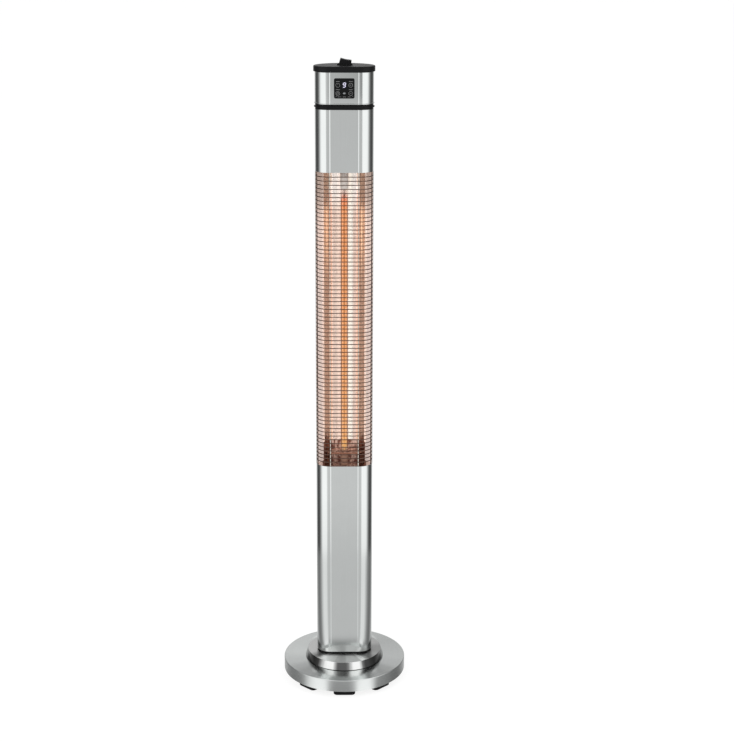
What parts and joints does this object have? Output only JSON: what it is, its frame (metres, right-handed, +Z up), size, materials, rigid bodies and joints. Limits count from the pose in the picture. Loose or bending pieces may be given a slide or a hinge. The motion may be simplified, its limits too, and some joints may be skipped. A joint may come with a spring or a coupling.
{
  "type": "infrared patio heater tower",
  "caption": "Free-standing infrared heater: slim steel tower on a round weighted base, wire cage in front of a quartz lamp and reflector, control head with rocker switch.",
  "frame": {"origin": "on the floor under the centre of the round base", "axes": "+Z up the tower, -Y out of the front with the control panel, +X to the right of someone who faces the panel"},
  "size_m": [0.222, 0.222, 1.1288],
  "materials": {
    "stainless": "fine satin brushed along the tower",
    "spun_steel": "spun, brushed round the centre",
    "polished_steel": "turned and polished",
    "zinc_plate": "zinc plated, dull",
    "dark_steel": "heat-tinted brown",
    "ballast_iron": "as cast",
    "cage_wire": "dark plated wire, satin",
    "reflector_aluminium": "bright rolled",
    "satin_black": "satin moulded",
    "gloss_black": "high gloss",
    "smoked_plastic": "smoked, high gloss",
    "grey_plastic": "moulded",
    "circuit_board": "lacquered board",
    "rubber": "matte",
    "lead_sleeve": "heat-proof sleeve, pale",
    "ceramic": "unglazed",
    "mica": "pressed mica board, matte",
    "quartz": "clear, hot",
    "glowing_filament": "carbon coil, glowing orange"
  },
  "bodies": {
    "heater": {"foot_1": "rubber", "foot_2": "rubber", "foot_3": "rubber", "foot_4": "rubber", "foot_5": "rubber", "foot_6": "rubber", "base_plate": "zinc_plate", "base_ballast": "ballast_iron", "base_cover": "spun_steel", "base_step": "polished_steel", "post_gasket": "rubber", "post_foot_plate": "zinc_plate", "base_bolt_1": "zinc_plate", "base_bolt_2": "zinc_plate", "base_bolt_3": "zinc_plate", "base_bolt_4": "zinc_plate", "lower_tube": "stainless", "upper_tube": "stainless", "lower_deck": "dark_steel", "upper_deck": "dark_steel", "heat_shield": "mica", "spine_channel": "zinc_plate", "cable_gland": "satin_black", "gland_nut": "satin_black", "wiring_loom": "rubber", "tilt_bracket": "zinc_plate", "tilt_pin": "zinc_plate", "tilt_switch_box": "grey_plastic", "grille_cage": "cage_wire", "rear_cover": "stainless", "reflector": "reflector_aluminium", "lamp_bracket_lower": "dark_steel", "lamp_holder_upper": "ceramic", "lamp_cap_lower": "ceramic", "lamp_cap_upper": "ceramic", "lamp_tube": "quartz", "lamp_filament": "glowing_filament", "lamp_lead_lower": "lead_sleeve", "lamp_lead_upper": "lead_sleeve", "joint_ring": "satin_black", "head_floor": "zinc_plate", "head_shell": "stainless", "lid": "satin_black", "control_fascia": "gloss_black", "display_window": "smoked_plastic", "receiver_lens": "smoked_plastic", "control_board": "circuit_board", "power_board": "circuit_board", "terminal_block": "ceramic", "power_relay": "grey_plastic", "rocker_housing": "satin_black", "rocker_pin": "zinc_plate"},
    "rocker_switch": {"rocker": "satin_black"},
    "power_button": {"button_power": "gloss_black"},
    "up_button": {"button_up": "gloss_black"},
    "timer_button": {"button_timer": "gloss_black"},
    "down_button": {"button_down": "gloss_black"},
    "pendulum": {"tilt_pendulum": "polished_steel"}
  },
  "joints": [
    {"name": "rocker_tilt", "type": "hinge", "parent": "heater", "child": "rocker_switch", "pos_m": [0.001, 0, 1.1165], "axis": [0, -1, 0], "range_deg": [0, 21.6]},
    {"name": "power_press", "type": "slide", "parent": "heater", "child": "power_button", "axis": [0, 1, 0], "range_m": [0, 0.0008], "stiffness_N_per_m": 1200},
    {"name": "up_press", "type": "slide", "parent": "heater", "child": "up_button", "axis": [0, 1, 0], "range_m": [0, 0.0008], "stiffness_N_per_m": 1200},
    {"name": "timer_press", "type": "slide", "parent": "heater", "child": "timer_button", "axis": [0, 1, 0], "range_m": [0, 0.0008], "stiffness_N_per_m": 1200},
    {"name": "down_press", "type": "slide", "parent": "heater", "child": "down_button", "axis": [0, 1, 0], "range_m": [0, 0.0008], "stiffness_N_per_m": 1200},
    {"name": "tilt_swing", "type": "hinge", "parent": "heater", "child": "pendulum", "pos_m": [0, -0.008, 0.1364], "axis": [1, 0, 0], "range_deg": [-25, 25]}
  ]
}
